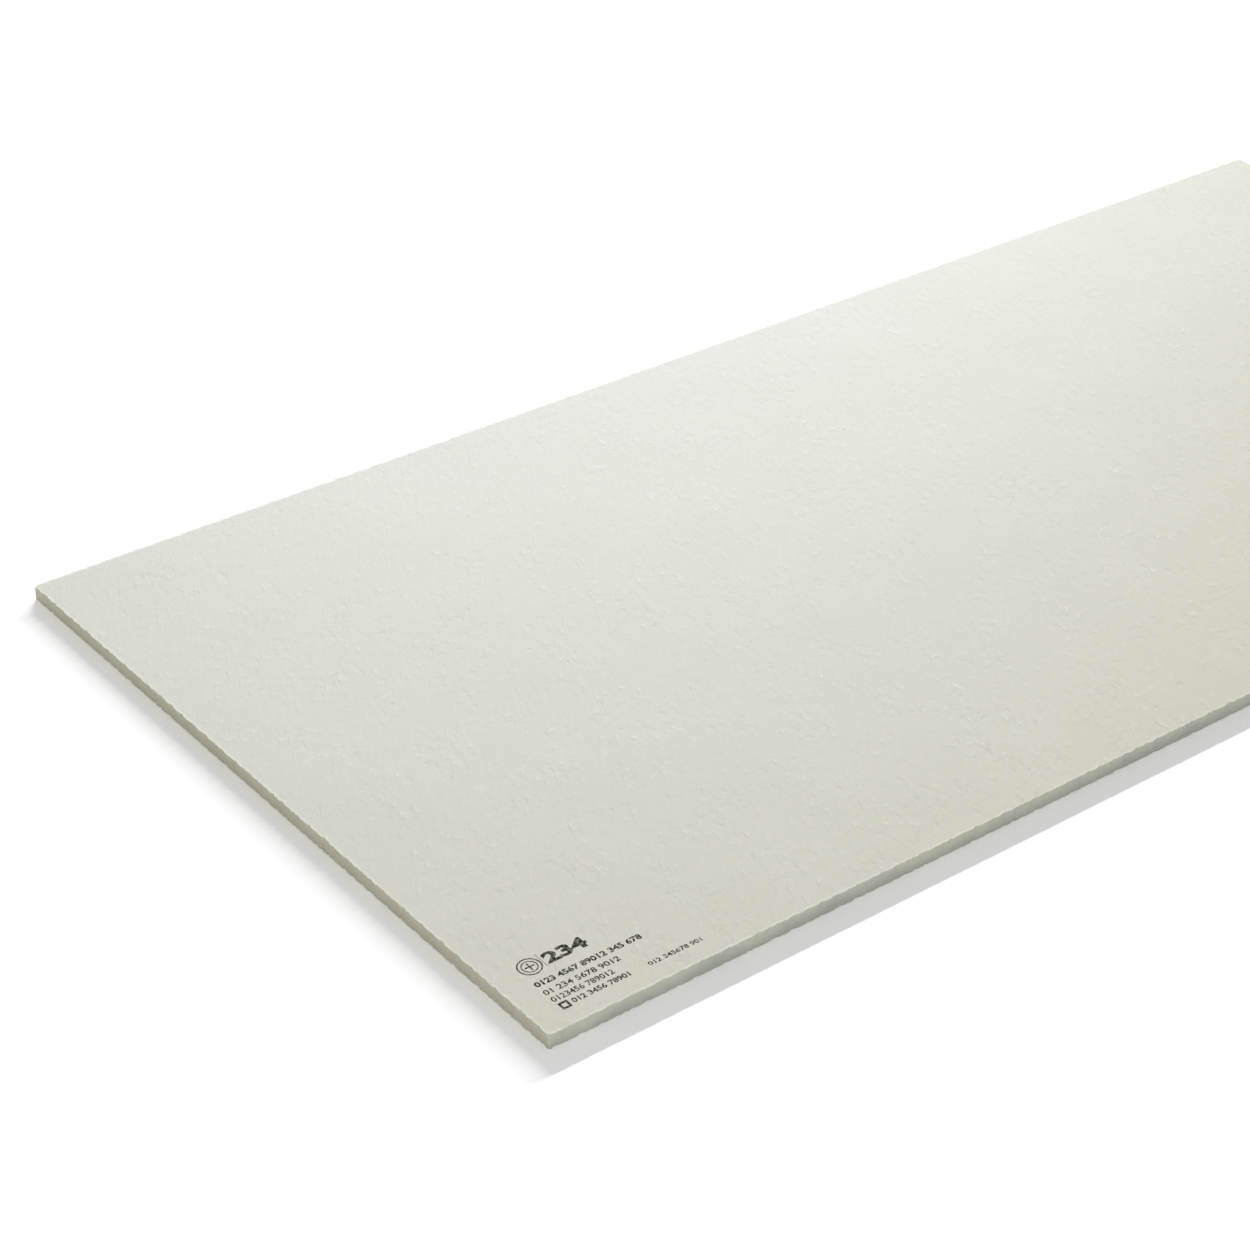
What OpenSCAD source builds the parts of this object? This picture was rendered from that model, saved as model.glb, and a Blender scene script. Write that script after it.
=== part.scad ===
// Fiber cement board: a flat sheet of pressed, autoclaved fiber cement with plain square edges.
// Millimetres. The sheet lies on its back face: the origin is the centre of that face,
// +X runs along the length, +Y across the width and +Z up through the thickness.

/* [Sheet] */
// Length of the sheet
sheet_length = 2400; // [600:50:3600]
// Width of the sheet
sheet_width = 1200; // [300:50:1500]
// Thickness of the sheet
sheet_thickness = 20; // [6:1:40]

/* [Edges] */
// Radius that eases the arris where a face meets an edge
arris_radius = 1.5; // [0.5:0.25:2.5]
// Radius of the four corners, seen from above
corner_radius = 4; // [3:0.5:25]

/* [Hidden] */
$fn = 64;

// The straight runs that are left between two rounded corners
straight_length = sheet_length - 2 * corner_radius;
straight_width = sheet_width - 2 * corner_radius;

// Upright section of one edge of the sheet, reaching out from x = 0 to the edge face.
// Both arrises of that face are quarter rounds.
module edge_section(reach) {
    square([reach - arris_radius, sheet_thickness]);
    translate([0, arris_radius])
        square([reach, sheet_thickness - 2 * arris_radius]);
    for (arris_height = [arris_radius, sheet_thickness - arris_radius])
        translate([reach - arris_radius, arris_height])
            circle(r = arris_radius);
}

// Upright section across the whole width, with an eased edge on either side.
module cross_section() {
    edge_section(sheet_width / 2);
    mirror([1, 0]) edge_section(sheet_width / 2);
}

// The full-width body, which stops where the rounded corners start.
module body() {
    translate([-straight_length / 2, 0, 0])
        rotate([90, 0, 90])
            linear_extrude(straight_length) cross_section();
}

// The narrow strip that closes one short edge between its two corners.
module end_strip() {
    translate([straight_length / 2, straight_width / 2, 0])
        rotate([90, 0, 0])
            linear_extrude(straight_width) edge_section(corner_radius);
}

// One corner: the edge's own section, turned a quarter round the corner's centre.
module corner() {
    translate([straight_length / 2, straight_width / 2, 0])
        rotate_extrude(angle = 90) edge_section(corner_radius);
}

// Draws its children on both sides of the plane across the given axis.
module both_sides(axis) {
    children();
    mirror(axis) children();
}

module board() {
    color([0.85, 0.86, 0.80])
        union() {
            body();
            both_sides([1, 0, 0]) {
                end_strip();
                both_sides([0, 1, 0]) corner();
            }
        }
}

board();
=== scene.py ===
"""Looks of a fiber cement board that lies flat: its skin, its finishes, the printed marks and the studio.

Metres. The board lies on its back face: +X runs along its length, +Y across its width, +Z up.
"""
from math import cos, pi, radians, sin, tau

import bmesh
import bpy
import numpy as np
from mathutils import Matrix, Vector


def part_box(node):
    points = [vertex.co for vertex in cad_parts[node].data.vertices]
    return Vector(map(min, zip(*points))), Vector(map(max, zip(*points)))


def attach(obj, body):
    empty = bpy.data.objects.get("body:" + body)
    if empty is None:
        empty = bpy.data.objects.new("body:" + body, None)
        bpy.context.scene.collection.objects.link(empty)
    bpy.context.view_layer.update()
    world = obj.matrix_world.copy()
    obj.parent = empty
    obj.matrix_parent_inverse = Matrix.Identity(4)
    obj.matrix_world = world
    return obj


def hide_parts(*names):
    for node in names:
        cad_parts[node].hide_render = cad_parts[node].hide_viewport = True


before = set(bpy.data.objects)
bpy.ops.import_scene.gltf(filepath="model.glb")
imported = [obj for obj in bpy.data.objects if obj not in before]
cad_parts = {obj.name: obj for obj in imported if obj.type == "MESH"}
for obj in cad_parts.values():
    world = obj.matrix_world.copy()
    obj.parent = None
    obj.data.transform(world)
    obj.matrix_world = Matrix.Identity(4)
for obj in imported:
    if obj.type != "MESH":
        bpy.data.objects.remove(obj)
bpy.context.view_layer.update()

MM = 0.001
MERGE_DISTANCE = 0.001 * MM  # points closer than this are one point

# ---------------------------------------------------------------- sizes, from the frame
LOW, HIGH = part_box("board")
MIDDLE = (LOW + HIGH) / 2
HALF_LENGTH = (HIGH.x - LOW.x) / 2
HALF_WIDTH = (HIGH.y - LOW.y) / 2
THICKNESS = HIGH.z - LOW.z

# ---------------------------------------------------------------- the board's skin
CORNER_RADIUS = 4 * MM
CORNER_STEPS = 8
RIM_STEP = 2.2 * MM  # about what lies between two points of the skin along the rim
THINNING_STEPS = (4 * MM, 9 * MM, 20 * MM, 45 * MM, 90 * MM)  # inward, each to half as many points
ARRIS_RADIUS = 0.3 * MM  # of an arris where it is whole
ARRIS_WEAR = 0.4 * MM  # how much more it is eased at its roundest
ARRIS_STEPS = 5
SIDE_STEPS = 8
RAGGED_DEPTH = 2.0 * MM  # from the crests of a ragged arris to its hollows
RAGGED_LEAN = 0.8  # 0 for as much crest as hollow, more for a line that is mostly crest
RAGGED_WAVES = (5 * MM, 42 * MM)  # shortest and longest
RAGGED_KNEE = 10 * MM  # waves shorter than this are shallower
BITE_REACH = 4 * MM  # how far a hollow of the arris reaches down the cut edge
CHIP_DEPTH = 1.4 * MM
CHIP_WIDTH = 3.0 * MM
CHIP_WIDTHS = (0.4, 1.8)  # narrowest and widest, as shares of that width
CHIP_RARITY = 3  # power that makes most chips shallow
CHIPS = 420
ARRIS_HIGHLIGHT_REACH = (2.0 * MM, 4.5 * MM)  # how far in over a face the painted highlight along its arris fades
ARRIS_HIGHLIGHT_SHARES = (0.45, 0.0)  # share of cut edge at those two places
ARRIS_SHARE = 0.5  # share of cut edge where the arris starts
TEAR_DEPTH = 0.25 * MM  # of the shallow tears in the cut edge
TEAR_WAVES = (9 * MM, 80 * MM)
TEARS = 60

# ---------------------------------------------------------------- the printed marks
INK_THICKNESS = 0.05 * MM
CIRCLE_STEPS = 48
DIGIT_STEPS = 3  # along each curve of a digit
# left, right, foot and top of each mark, in millimetres in from the corner at the left of the front edge
MARK_RING = (39, 70, 96.5, 127.5)
MARK_RULE = (71.65, 72.35, 100, 127)
MARK_SQUARE = (40, 53, 26.5, 39.5)
# shares of the ring's radius, or of the square
OUTER_RING = (1.0, 0.88)  # outside and inside
INNER_RING = (0.68, 0.58)
CROSS_REACH = 0.44
CROSS_HALF_WIDTH = 0.07
SQUARE_HOLE = 0.5
# digits, how bold they are, then left, right, foot and top as above
NUMBER_ROWS = {
    "print_large_numbers": ("234", 0.045, 75, 134, 102, 123),
    "print_numbers_row_1": ("0123 4567 89012 345 678", 0.040, 39, 190, 75.5, 85.5),
    "print_numbers_row_2": ("01 234 5678 9012", 0.020, 39, 146, 58.5, 68),
    "print_numbers_row_3": ("0123456 789012", 0.020, 39, 126, 43.5, 53),
    "print_numbers_row_4": ("012 3456 78901", 0.032, 57, 138, 29, 38),
    "print_numbers_side": ("012 345678 901", 0.024, 165, 242, 29.5, 37),
}

# ---------------------------------------------------------------- finishes, linear colours
FACE_PALE = (0.777, 0.770, 0.618)
FACE_DEEP = (0.754, 0.747, 0.594)
FACE_YELLOW = (0.761, 0.752, 0.588)
# tones of the felt grain: lighter on the pimples and darker in the pits, partly grain and partly painted
# light and shade
FLECK_GRAIN_AND_LIGHT = (0.842, 0.834, 0.685)
FLECK_GRAIN_AND_SHADE = (0.750, 0.743, 0.590)
# painted highlight: a lighter line along the arris, in patches
ARRIS_PAINTED_HIGHLIGHT = (0.910, 0.903, 0.752)
# cut edge colours, set darker than the face and darker still at the foot as painted shade; the short ends'
# pair is browner, and lighter than the long sides as painted light
SIDE_TOP = (0.667, 0.679, 0.563)
SIDE_FOOT_SHADE = (0.475, 0.500, 0.435)
END_TOP = (0.715, 0.692, 0.540)
END_FOOT_SHADE = (0.585, 0.570, 0.438)
INK_BLACK = (0.028, 0.029, 0.014)
CEMENT_GLOSS = 1.5  # refractive index
CEMENT_ROUGHNESS = 0.5
INK_GLOSS = 1.1
INK_ROUGHNESS = 0.6

# ---------------------------------------------------------------- patterns in the finishes
# A size is that of a noise's lumps. A pair gives the noise at which what it makes starts and is full,
# and four numbers add how strong it is at those two, where that isn't 0 and 1.
FELT_GRAIN = 9.5 * MM
FELT_SLANT = radians(53)  # from the board's length, of the way along which its grains are longer
FELT_STRETCH = 2.0
FELT_DEPTH = 1.25 * MM
FELT_PIMPLES = (0.56, 0.82)
FELT_PITS = (0.44, 0.16)
FELT_PATCH = 40 * MM
FELT_PATCHES = (0.38, 0.62, 0.4, 1.0)
CLOUD = 150 * MM
CLOUDS = (0.35, 0.65)
BLOTCH = 24 * MM
BLOTCHES = (0.45, 0.75)
# where the painted highlight along the arris is full and where it is faint
ARRIS_PATCH = 16 * MM
ARRIS_PATCHES = (0.35, 0.60, 0.3, 1.0)
SMUDGE = 45 * MM
SMUDGES = (0.55, 1.45)  # of the noise plus the height, which goes from 0 at the foot to 1 at the top: the painted shade deepens towards the foot
BARE_SPECK = 4 * MM
BARE_SPECK_EDGES = 0.7  # how much of the noise is fine detail
BARE_SPECKS = (0.48, 0.72, 0.0, 0.7)
CUT_STARTS = (0.6, 0.8)  # share of cut edge over which the face's colour gives way to the cut's


# ================================================================ shapes
def rim():
    """Outline of the sheet seen from above, walked anticlockwise round a rectangle with rounded corners.

    Each side runs evenly between two corner centres, pushed out by the corner's radius, and each corner
    is a quarter circle. A side and its corner have a number of points that can be halved as often as the
    face is thinned out. Gives the points, the direction each one faces, the share of the way round at
    which it lies, and the length of the whole way.
    """
    halvings = 2 ** len(THINNING_STEPS)
    reach = np.array([HALF_LENGTH, HALF_WIDTH]) - CORNER_RADIUS
    centres = np.array([(1, 1), (-1, 1), (-1, -1), (1, -1)]) * reach
    turn = np.linspace(0, pi / 2, CORNER_STEPS + 1)[1:-1]
    anchors, angles = [], []
    for side in range(4):
        start, end = centres[side - 1], centres[side]
        count = round(np.abs(end - start).sum() / RIM_STEP / halvings) * halvings - CORNER_STEPS
        along = np.linspace(0, 1, count + 1)[:, None]
        anchors += [start + (end - start) * along, np.repeat(end[None], turn.size, axis=0)]
        angles += [np.full(count + 1, side * pi / 2), side * pi / 2 + turn]
    angles = np.concatenate(angles)
    facing = np.stack([np.cos(angles), np.sin(angles)], axis=1)
    points = np.concatenate(anchors) + CORNER_RADIUS * facing
    paces = np.linalg.norm(np.diff(points, axis=0, append=points[:1]), axis=1)
    walked = np.cumsum(paces) - paces
    return points, facing, walked / paces.sum(), paces.sum()


def ragged(way, length, seed):
    """A ragged line from 0 to 1 that closes on itself round the rim.

    The sum of sine waves, one for each whole number of crests that keeps a wave between the shortest
    and the longest, each with its own phase and weight. The weight falls off as 1 / (1 + (knee / wave)^2)
    for waves shorter than the knee. The sum, less the lean, is bent by tanh to stay within 0 and 1.
    """
    draw = np.random.default_rng(seed)
    shortest, longest = RAGGED_WAVES
    crests = np.arange(round(length / longest), round(length / shortest))
    phase = draw.uniform(0, tau, crests.size)
    weight = draw.normal(size=crests.size) / (1 + (crests * RAGGED_KNEE / length) ** 2)
    total = np.sin(tau * np.outer(way, crests) + phase) @ weight
    return 0.5 + 0.5 * np.tanh(total / total.std() - RAGGED_LEAN)


def chips(way, length, seed):
    """Chips along an arris: 0 where it is whole, towards 1 at the bottom of a chip.

    At each place the deepest of many bites, each its own depth times exp(-(distance / width)^2).
    """
    draw = np.random.default_rng(seed)
    place = draw.uniform(0, 1, CHIPS)
    width = CHIP_WIDTH / length * draw.uniform(*CHIP_WIDTHS, CHIPS)
    depth = draw.uniform(0, 1, CHIPS) ** CHIP_RARITY
    away = np.abs(way[:, None] - place)
    away = np.minimum(away, 1 - away)
    return (depth * np.exp(-((away / width) ** 2))).max(axis=1)


def tears(way, length, height, seed):
    """Shallow tears in the cut edge, from 0 to 1: the sum of slanting sine waves that close round the rim.

    Each wave has a whole number of crests round the rim, its own lean through the thickness and phase.
    """
    draw = np.random.default_rng(seed)
    shortest, longest = TEAR_WAVES
    crests = draw.integers(round(length / longest), round(length / shortest), TEARS)
    lean = draw.normal(scale=pi / THICKNESS, size=TEARS)
    phase = draw.uniform(0, tau, TEARS)
    total = np.sin(tau * way[:, None] * crests + height[..., None] * lean + phase).sum(axis=-1)
    return 0.5 + 0.5 * np.tanh(total / total.std())


def arris(way, length, seed):
    """How one arris runs: how far it lies in from the rim, and its own radius, all round.

    It lies in by the ragged line, and its radius grows where that line is deep and where it is chipped.
    """
    line = ragged(way, length, seed)
    wear = ARRIS_WEAR * ragged(way, length, seed + 2) * line
    radius = ARRIS_RADIUS + wear + CHIP_DEPTH * chips(way, length, seed + 1)
    return RAGGED_DEPTH * line, radius


def quarter_round(inset, radius):
    """Rings over an arris from the face to the cut edge: a quarter circle of the arris's radius.

    Gives how far in from the rim each ring lies and how far under the face.
    """
    turn = np.linspace(0, pi / 2, ARRIS_STEPS + 1)[:, None]
    return inset + radius * (1 - np.sin(turn)), radius * (1 - np.cos(turn))


def face_rings(edge):
    """The two rings on a face along its arris: the arris's own line drawn in by a fixed step."""
    reach = np.array([HALF_LENGTH, HALF_WIDTH, np.inf])
    return np.stack([edge * (1 - step / reach) for step in ARRIS_HIGHLIGHT_REACH[::-1]])


def face_middle(ring, number, fresh):
    """Fills a face inside a ring: rings of half as many points each time, then one flat polygon.

    Each new ring is every second point of the one outside it, drawn in by a step, and three triangles
    join two paces of the outer ring to one of the inner. Gives the new points, numbered from fresh, and
    the faces, which run anticlockwise as seen from above.
    """
    reach = np.array([HALF_LENGTH, HALF_WIDTH, np.inf])
    points, faces = [], []
    for step in THINNING_STEPS:
        ring = ring[::2] * (1 - step / reach)
        inner = fresh + np.arange(len(ring))
        before, between, after = number[::2], number[1::2], np.roll(number[::2], -1)
        inner_after = np.roll(inner, -1)
        for corners in (
            (before, between, inner), (between, inner_after, inner), (between, after, inner_after),
        ):
            faces += np.stack(corners, axis=1).tolist()
        points.append(ring)
        number = inner
        fresh += len(ring)
    return np.concatenate(points), faces + [number.tolist()]


def board_skin():
    """Points and faces of the whole board, with its shares of cut edge and of short end.

    Rings run out over the rim of the front face, round its arris, down the cut edge, and in under the
    back, and both faces are filled inside them. The rings of the cut edge lie closer towards the two
    arrises, and a hollow of an arris fades down it as exp(-(way down / reach)^2). The share of cut edge
    is 0 on a face, a half where the arris starts and 1 on the cut edge. The share of short end is the
    square of how far a point faces along X.
    """
    points, facing, way, length = rim()
    front_line, front_radius = arris(way, length, seed=11)
    back_line, back_radius = arris(way, length, seed=47)
    front_inset, front_drop = quarter_round(front_line, front_radius)
    back_inset, back_rise = quarter_round(back_line, back_radius)

    down = 0.5 - 0.5 * np.cos(np.linspace(0, pi, SIDE_STEPS + 1))[1:-1, None]
    side_top, side_foot = THICKNESS - front_radius, back_radius
    side_height = side_top + (side_foot - side_top) * down
    side_inset = front_line * np.exp(-(((side_top - side_height) / BITE_REACH) ** 2))
    side_inset += back_line * np.exp(-(((side_height - side_foot) / BITE_REACH) ** 2))
    side_inset += TEAR_DEPTH * np.sin(pi * down) * tears(way, length, side_height, seed=83)

    inset = np.concatenate([front_inset, side_inset, back_inset[::-1]])
    height = np.concatenate([THICKNESS - front_drop, side_height, back_rise[::-1]])
    band = np.concatenate([points - inset[..., None] * facing, height[..., None]], axis=-1)
    rings = np.concatenate([face_rings(band[0]), band, face_rings(band[-1])[::-1]])

    count, around = rings.shape[:2]
    number = np.arange(count * around).reshape(count, around)
    front, front_faces = face_middle(rings[0], number[0], number.size)
    back, back_faces = face_middle(rings[-1], number[-1], number.size + len(front))
    faces = ring_faces(number) + front_faces + [face[::-1] for face in back_faces]
    skin = np.concatenate([rings.reshape(-1, 3), front, back]) + np.array([MIDDLE.x, MIDDLE.y, LOW.z])

    half = np.concatenate([ARRIS_HIGHLIGHT_SHARES[::-1], np.linspace(ARRIS_SHARE, 1, ARRIS_STEPS + 1)])
    cut = np.concatenate([half, np.ones(SIDE_STEPS - 1), half[::-1]])
    no_cut = np.zeros(len(front) + len(back))
    cut = np.concatenate([np.repeat(cut, around), no_cut])
    end = np.concatenate([np.tile(facing[:, 0] ** 2, count), no_cut])
    return skin, faces, cut, end


def ring_faces(number):
    """Faces between rings of numbered points: each ring is joined to the next, and its end to its start."""
    after = np.roll(number, -1, axis=1)
    return np.stack([number[:-1], number[1:], after[1:], after[:-1]], axis=-1).reshape(-1, 4).tolist()


def solid(name, points, faces, **shares):
    """A closed mesh whose points are welded where they fall together.

    Each share is stored on the points under its own name.
    """
    mesh = bpy.data.meshes.new(name)
    mesh.from_pydata(points, [], faces)
    for share, values in shares.items():
        spot = mesh.attributes.new(share, "FLOAT", "POINT")
        spot.data.foreach_set("value", values.astype(np.float32))
    work = bmesh.new()
    work.from_mesh(mesh)
    bmesh.ops.remove_doubles(work, verts=work.verts, dist=MERGE_DISTANCE)
    work.to_mesh(mesh)
    work.free()
    return piece_of(name, mesh)


def piece_of(name, mesh):
    """A new object of the scene, at the origin."""
    piece = bpy.data.objects.new(name, mesh)
    bpy.context.scene.collection.objects.link(piece)
    return piece


# ================================================================ the printed marks
def ink_patch(name, outline, inner):
    """A flat patch of ink, half sunk into the face: rings over its top, out, down and in under it.

    It lies between an outline and an inner line of as many points, or a single point for a full patch.
    """
    inner = np.broadcast_to(inner, outline.shape)
    lines = [inner, outline, outline, inner]
    levels = np.array([1, 1, -1, -1]) * INK_THICKNESS / 2
    if np.ptp(inner, axis=0).any():
        lines.append(inner)
        levels = np.append(levels, levels[0])
    rings = np.stack([
        np.column_stack([line * MM, np.full(len(line), level)]) for line, level in zip(lines, levels)
    ])
    points = rings.reshape(-1, 3) + np.array([LOW.x, LOW.y, HIGH.z])
    number = np.arange(len(points)).reshape(len(lines), -1)
    return solid(name, points, ring_faces(number))


def rectangle(left, right, foot, top):
    """Its four corners, anticlockwise."""
    return np.array([(left, foot), (right, foot), (right, top), (left, top)], dtype=float)


def circle(centre, radius):
    """Points at even angles round a centre, anticlockwise."""
    turn = np.linspace(0, tau, CIRCLE_STEPS, endpoint=False)
    return centre + radius * np.stack([np.cos(turn), np.sin(turn)], axis=1)


def cross(centre, reach, half_width):
    """Outline of a plain cross: one arm's three corners, turned to all four quarters."""
    arm = np.array([(half_width, -half_width), (reach, -half_width), (reach, half_width)])
    quarters = [np.array([(c, -s), (s, c)]) for c, s in ((1, 0), (0, 1), (-1, 0), (0, -1))]
    return centre + np.concatenate([arm @ quarter.T for quarter in quarters])


def print_shapes():
    """The plain shapes of the print: two rings round a cross, an upright rule and a small square."""
    left, right, foot, top = MARK_RING
    centre = np.array([left + right, foot + top]) / 2
    radius = (right - left) / 2
    rule = rectangle(*MARK_RULE)
    square = rectangle(*MARK_SQUARE)
    middle = square.mean(axis=0)
    return {
        "print_outer_ring": [circle(centre, share * radius) for share in OUTER_RING],
        "print_inner_ring": [circle(centre, share * radius) for share in INNER_RING],
        "print_cross": [cross(centre, CROSS_REACH * radius, CROSS_HALF_WIDTH * radius), centre],
        "print_rule": [rule, rule.mean(axis=0)],
        "print_square": [square, middle + SQUARE_HOLE * (square - middle)],
    }


def numbers(name, digits, bold, left, right, foot, top):
    """A row of digits as a closed mesh, stretched to fill its rectangle on the face."""
    curve = bpy.data.curves.new(name, "FONT")
    curve.body = digits
    curve.offset = bold
    curve.extrude = 1  # any thickness: it is stretched below
    curve.resolution_u = DIGIT_STEPS
    holder = piece_of(name + "_line", curve)
    ready = bpy.context.evaluated_depsgraph_get()
    mesh = bpy.data.meshes.new_from_object(holder.evaluated_get(ready), depsgraph=ready)
    mesh.name = name
    bpy.data.objects.remove(holder)
    bpy.data.curves.remove(curve)

    points = np.empty(len(mesh.vertices) * 3)
    mesh.vertices.foreach_get("co", points)
    points = points.reshape(-1, 3)
    low, high = points.min(axis=0), points.max(axis=0)
    room_low = np.array([left * MM, foot * MM, -INK_THICKNESS / 2])
    room_high = np.array([right * MM, top * MM, INK_THICKNESS / 2])
    points = room_low + (points - low) / (high - low) * (room_high - room_low)
    points += np.array([LOW.x, LOW.y, HIGH.z])
    mesh.vertices.foreach_set("co", points.ravel())
    work = bmesh.new()
    work.from_mesh(mesh)
    bmesh.ops.remove_doubles(work, verts=work.verts, dist=MERGE_DISTANCE)
    for _ in range(2):  # the first pass can leave a sliver of its own
        bmesh.ops.dissolve_degenerate(work, edges=work.edges, dist=MERGE_DISTANCE)
    bmesh.ops.recalc_face_normals(work, faces=work.faces)
    work.to_mesh(mesh)
    work.free()
    return piece_of(name, mesh)


# ================================================================ finishes
def add(tree, kind, sockets, **settings):
    """Adds a shader node. A socket takes a plain value or the output that feeds it."""
    made = tree.nodes.new("ShaderNode" + kind)
    for name, value in settings.items():
        setattr(made, name, value)
    for name, value in sockets.items():
        if isinstance(value, bpy.types.NodeSocket):
            tree.links.new(value, made.inputs[name])
        else:
            made.inputs[name].default_value = value
    return made


def grains(tree, place, size, detail=2.0, roughness=0.5):
    """Cloudy noise, about 0.2 to 0.8, whose largest lumps measure about size metres."""
    made = add(tree, "TexNoise", {
        "Vector": place, "Scale": 1 / size, "Detail": detail, "Roughness": roughness,
    })
    return made.outputs["Fac"]


def spread(tree, value, low, high, to_low=0.0, to_high=1.0):
    """Maps low..high to to_low..to_high and stops at both ends."""
    made = add(tree, "MapRange", {
        "Value": value, "From Min": low, "From Max": high, "To Min": to_low, "To Max": to_high,
    })
    return made.outputs["Result"]


def combine(tree, operation, first, second):
    """One step of arithmetic on two values."""
    made = add(tree, "Math", {0: first, 1: second}, operation=operation)
    return made.outputs[0]


def blend(tree, share, first, second):
    """Colour that goes from first to second as share goes from 0 to 1."""
    ends = {"A": first, "B": second}
    made = add(tree, "Mix", {"Factor": share}, data_type="RGBA")
    for socket in made.inputs:
        if socket.type == "RGBA":
            value = ends[socket.name]
            if isinstance(value, bpy.types.NodeSocket):
                tree.links.new(value, socket)
            else:
                socket.default_value = (*value, 1)
    return made.outputs[2]  # the colour, after the number and the vector


def finish(name, gloss, roughness):
    """A new material: its node tree, its shader, and the place on the piece in object coordinates.

    The gloss lies over the matt colour as a layer of its own, which the fine relief leaves smooth.
    """
    material = bpy.data.materials.new(name)
    material.use_nodes = True
    tree = material.node_tree
    shader = tree.nodes["Principled BSDF"]
    shader.inputs["IOR"].default_value = 1.0
    shader.inputs["Coat Weight"].default_value = 1.0
    shader.inputs["Coat IOR"].default_value = gloss
    shader.inputs["Coat Roughness"].default_value = roughness
    place = add(tree, "TexCoord", {}).outputs["Object"]
    return material, tree, shader, place


def felt_grain(tree, place):
    """Pimples and pits that the felt leaves in the cement, each a share from 0 to 1, sparse and slanting.

    Both come from one cloudy noise: pimples are what rises over its middle and pits what sinks under it.
    They are full in some patches and faint in others.
    """
    slanted = add(tree, "Mapping", {
        "Vector": place, "Rotation": (0, 0, FELT_SLANT), "Scale": (FELT_STRETCH, 1, 1),
    }, vector_type="TEXTURE").outputs[0]
    lumps = grains(tree, slanted, FELT_GRAIN)
    patches = spread(tree, grains(tree, place, FELT_PATCH, detail=1), *FELT_PATCHES)
    pimples = combine(tree, "MULTIPLY", spread(tree, lumps, *FELT_PIMPLES), patches)
    pits = combine(tree, "MULTIPLY", spread(tree, lumps, *FELT_PITS), patches)
    return pimples, pits


def felt_relief(tree, pimples, pits, shader):
    """Makes the matt colour's shading rise at the pimples and sink at the pits."""
    height = combine(tree, "SUBTRACT", pimples, pits)
    relief = add(tree, "Bump", {"Strength": 1.0, "Distance": FELT_DEPTH, "Height": height})
    tree.links.new(relief.outputs[0], shader.inputs["Normal"])


def face_colour(tree, place, pimples, pits):
    """Off-white cement: slow clouds of two tones, faint yellow blotches, lighter pimples and darker pits.
    The pimples' and pits' tones are partly grain and partly painted light and shade on the felt relief.
    """
    clouds = spread(tree, grains(tree, place, CLOUD), *CLOUDS)
    colour = blend(tree, clouds, FACE_DEEP, FACE_PALE)
    blotches = spread(tree, grains(tree, place, BLOTCH), *BLOTCHES)
    colour = blend(tree, blotches, colour, FACE_YELLOW)
    colour = blend(tree, pimples, colour, FLECK_GRAIN_AND_LIGHT)
    return blend(tree, pits, colour, FLECK_GRAIN_AND_SHADE)


def cut_colour(tree, place, end):
    """Cut cement: green-grey and smudged, with painted shade: darker than the face and darker still at the
    foot. The short ends are browner and, as painted light, lighter than the long sides.
    """
    height = add(tree, "SeparateXYZ", {0: place}).outputs["Z"]
    smudge = grains(tree, place, SMUDGE)
    # height plus smudge: lowest at the foot, where the painted shade is deepest
    level = combine(tree, "ADD", spread(tree, height, LOW.z, HIGH.z), smudge)
    level = spread(tree, level, *SMUDGES)
    side = blend(tree, level, SIDE_FOOT_SHADE, SIDE_TOP)
    # the short ends take their own colours, a browner tint and a lighter tone than the long sides; the
    # lighter tone is painted light
    short_end = blend(tree, level, END_FOOT_SHADE, END_TOP)
    return blend(tree, end, side, short_end)


def fiber_cement():
    """Felt-marked faces with a painted highlight along the arris, and smudged cut edges with painted shade.
    """
    material, tree, shader, place = finish("fiber_cement", CEMENT_GLOSS, CEMENT_ROUGHNESS)
    cut = add(tree, "Attribute", {}, attribute_name="cut").outputs["Fac"]
    end = add(tree, "Attribute", {}, attribute_name="end").outputs["Fac"]
    patches = spread(tree, grains(tree, place, ARRIS_PATCH), *ARRIS_PATCHES)
    # painted highlight along the arris: full from where the arris starts, fading over the face within its
    # reach
    arris_highlight = combine(tree, "MULTIPLY", spread(tree, cut, 0, ARRIS_SHARE), patches)
    pimples, pits = felt_grain(tree, place)
    face = blend(tree, arris_highlight, face_colour(tree, place, pimples, pits), ARRIS_PAINTED_HIGHLIGHT)
    colour = blend(tree, spread(tree, cut, *CUT_STARTS), face, cut_colour(tree, place, end))
    tree.links.new(colour, shader.inputs["Base Color"])
    felt_relief(tree, pimples, pits, shader)
    return material


def print_ink():
    """Black ink that took badly: it thins out to the cement's own tone in specks and patches."""
    material, tree, shader, place = finish("print_ink", INK_GLOSS, INK_ROUGHNESS)
    specks = grains(tree, place, BARE_SPECK, roughness=BARE_SPECK_EDGES)
    bare = spread(tree, specks, *BARE_SPECKS)
    tree.links.new(blend(tree, bare, INK_BLACK, FACE_DEEP), shader.inputs["Base Color"])
    felt_relief(tree, *felt_grain(tree, place), shader)
    return material


# ================================================================ studio
CAMERA_AZIMUTH = radians(37.34)  # from +Y towards +X
CAMERA_ELEVATION = radians(32.23)
CAMERA_ROLL = radians(-0.06)
CAMERA_AIM = Vector((-0.616, 0.026, HIGH.z))
CAMERA_DISTANCE = 4.035
SENSOR_WIDTH = 36  # millimetres, as is the lens
LENS = 86.4

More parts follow.
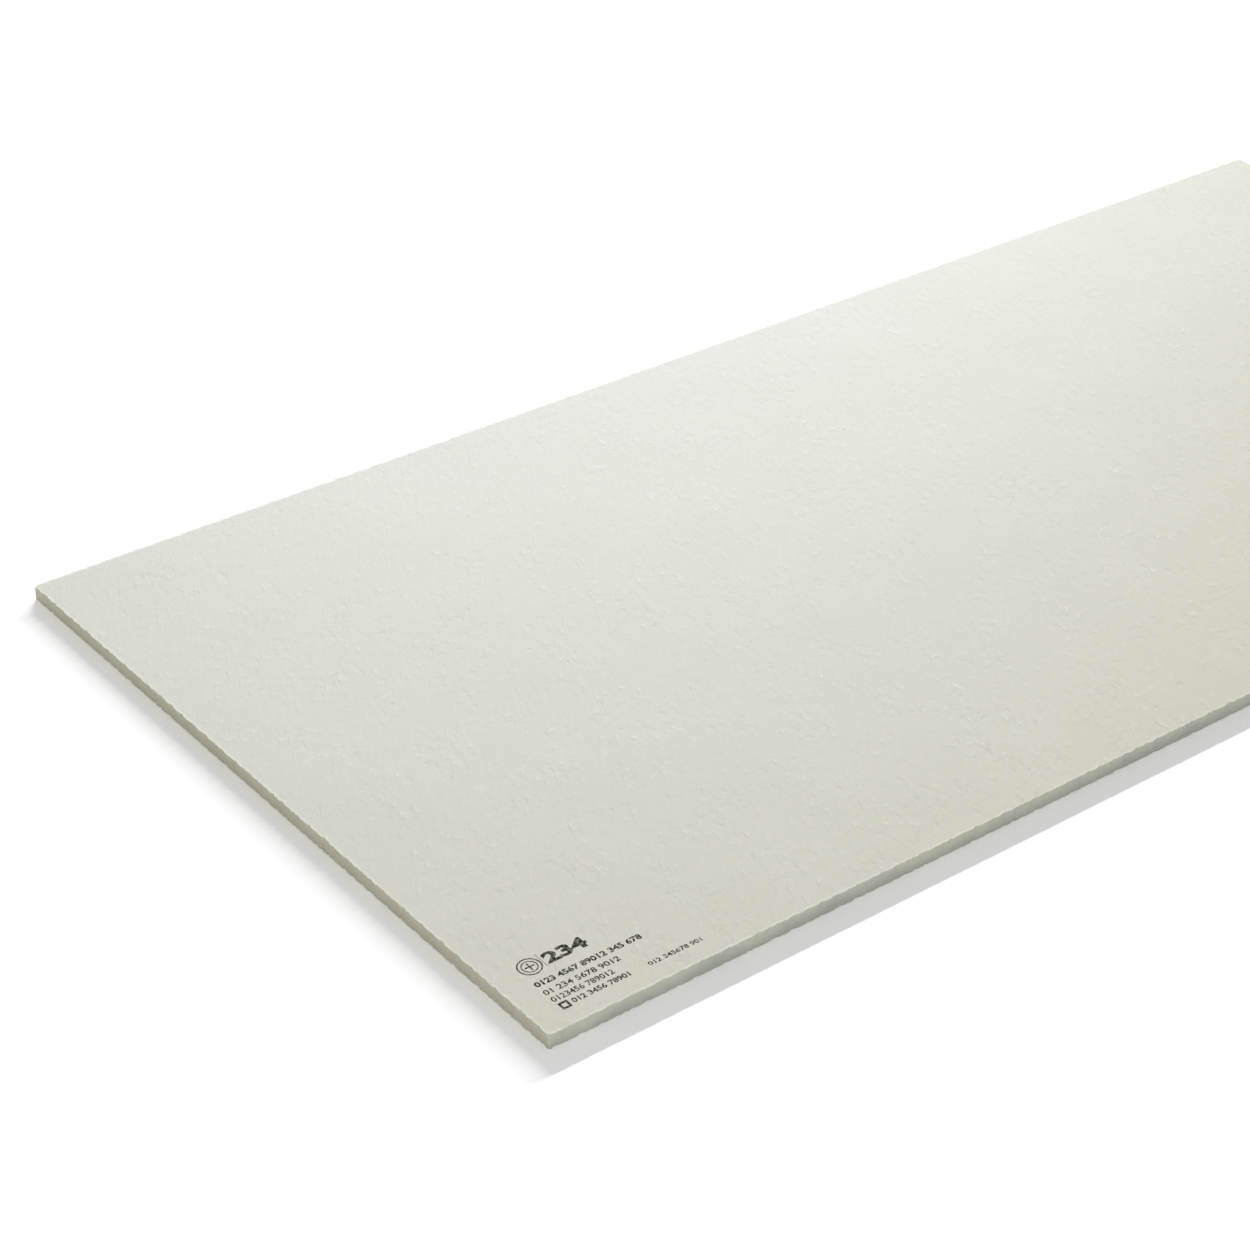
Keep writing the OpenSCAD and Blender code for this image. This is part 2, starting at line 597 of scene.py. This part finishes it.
WORLD_LIGHT = 0.389
STRIP_PLACE = Vector((9, 9, 5.2))
STRIP_SIZE = (10, 0.12)
STRIP_POWER = 1798
SHEEN_PLACE = Vector((6.5, 9, 5.2))
SHEEN_SIZE = (9, 0.12)
SHEEN_POWER = 960
SHEEN_COOL = (0.89, 0.94, 1.16)
FILL_PLACE = Vector((-5, -6, 0.8))
FILL_SIZE = (6, 1)
FILL_POWER = 140
FLOOR_SIZE = 60
FLOOR_TONE = 0.80  # for the light that it throws back on the board
FLOOR_LIFT = (1.512, 3.0)  # its tone where it is seen, near the board and far away
FLOOR_REACH = (1.2, 12)  # how far from the board's middle those two are


def camera():
    """Looks down on the near corner from the left, with a long lens."""
    ahead = Vector((
        sin(CAMERA_AZIMUTH) * cos(CAMERA_ELEVATION),
        cos(CAMERA_AZIMUTH) * cos(CAMERA_ELEVATION),
        -sin(CAMERA_ELEVATION),
    ))
    level = Vector((cos(CAMERA_AZIMUTH), -sin(CAMERA_AZIMUTH), 0))
    upright = level.cross(ahead)
    right = level * cos(CAMERA_ROLL) + upright * sin(CAMERA_ROLL)
    up = upright * cos(CAMERA_ROLL) - level * sin(CAMERA_ROLL)
    eye = piece_of("camera", bpy.data.cameras.new("camera"))
    eye.data.sensor_width = SENSOR_WIDTH
    eye.data.lens = LENS
    turn = Matrix((right, up, -ahead)).transposed().to_4x4()
    eye.matrix_world = Matrix.Translation(CAMERA_AIM - ahead * CAMERA_DISTANCE) @ turn
    bpy.context.scene.camera = eye


def plain_ray(tree):
    """1 for a ray from the camera, off a glossy surface or through a clear one, and 0 for other rays."""
    path = add(tree, "LightPath", {}).outputs
    seen = combine(tree, "MAXIMUM", path["Is Camera Ray"], path["Is Glossy Ray"])
    return combine(tree, "MAXIMUM", seen, path["Is Transmission Ray"])


def panel_light(name, place, size, power):
    """A rectangular lamp whose long side lies along X, turned about X towards the board."""
    lamp = bpy.data.lights.new(name, "AREA")
    lamp.shape = "RECTANGLE"
    lamp.size, lamp.size_y = size
    lamp.energy = power
    panel = piece_of(name, lamp)
    away = Vector((0, place.y, place.z))
    panel.matrix_world = Matrix.Translation(place) @ away.to_track_quat("Z", "Y").to_matrix().to_4x4()
    panel.visible_camera = False
    return panel


def studio():
    """White floor and surroundings, an even dome of light, a thin strip light far behind, a weak fill.

    The strip runs along X, so what it casts is crisp along the board's length and soft across its ends.
    The sheen on the board comes from a lamp of its own beside it, which lights nothing else.
    The floor's tone rises slowly with the distance from the board, to stay white away from the lamps.
    """
    world = bpy.data.worlds.new("studio")
    bpy.context.scene.world = world
    world.use_nodes = True
    tree = world.node_tree
    sky = tree.nodes["Background"]
    sky.inputs["Color"].default_value = (1, 1, 1, 1)
    tree.links.new(spread(tree, plain_ray(tree), 0, 1, WORLD_LIGHT, 1), sky.inputs["Strength"])

    panel_light("strip", STRIP_PLACE, STRIP_SIZE, STRIP_POWER).visible_glossy = False
    sheen = panel_light("sheen", SHEEN_PLACE, SHEEN_SIZE, SHEEN_POWER)
    sheen.visible_diffuse = False
    sheen.data.color = SHEEN_COOL
    panel_light("fill", FILL_PLACE, FILL_SIZE, FILL_POWER).visible_glossy = False

    mesh = bpy.data.meshes.new("floor")
    corners = np.array([(-1, -1, 0), (1, -1, 0), (1, 1, 0), (-1, 1, 0)]) * FLOOR_SIZE / 2
    mesh.from_pydata(corners + np.array([0, 0, LOW.z]), [], [(0, 1, 2, 3)])
    floor = piece_of("floor", mesh)
    material = bpy.data.materials.new("floor_white")
    material.use_nodes = True
    tree = material.node_tree
    tree.nodes.remove(tree.nodes["Principled BSDF"])
    place = add(tree, "TexCoord", {}).outputs["Object"]
    away = add(tree, "VectorMath", {0: place}, operation="LENGTH").outputs["Value"]
    lift = spread(tree, away, *FLOOR_REACH, *FLOOR_LIFT)
    tone = blend(tree, plain_ray(tree), (FLOOR_TONE,) * 3, lift)
    matt = add(tree, "BsdfDiffuse", {"Color": tone})
    tree.links.new(matt.outputs[0], tree.nodes["Material Output"].inputs["Surface"])
    mesh.materials.append(material)


# ================================================================ building
def build():
    """Dresses the board in its skin, prints its marks, and sets up the camera and the light."""
    skin, faces, cut, end = board_skin()
    board = solid("board_skin", skin, faces, cut=cut, end=end)
    board.data.shade_smooth()
    board.data.materials.append(fiber_cement())
    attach(board, "root")
    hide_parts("board")

    marks = [ink_patch(name, *lines) for name, lines in print_shapes().items()]
    marks += [numbers(name, *row) for name, row in NUMBER_ROWS.items()]
    ink = print_ink()
    for mark in marks:
        mark.data.materials.clear()
        mark.data.materials.append(ink)
        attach(mark, "root")
    camera()
    studio()
    bpy.context.scene.view_settings.view_transform = "Standard"


build()
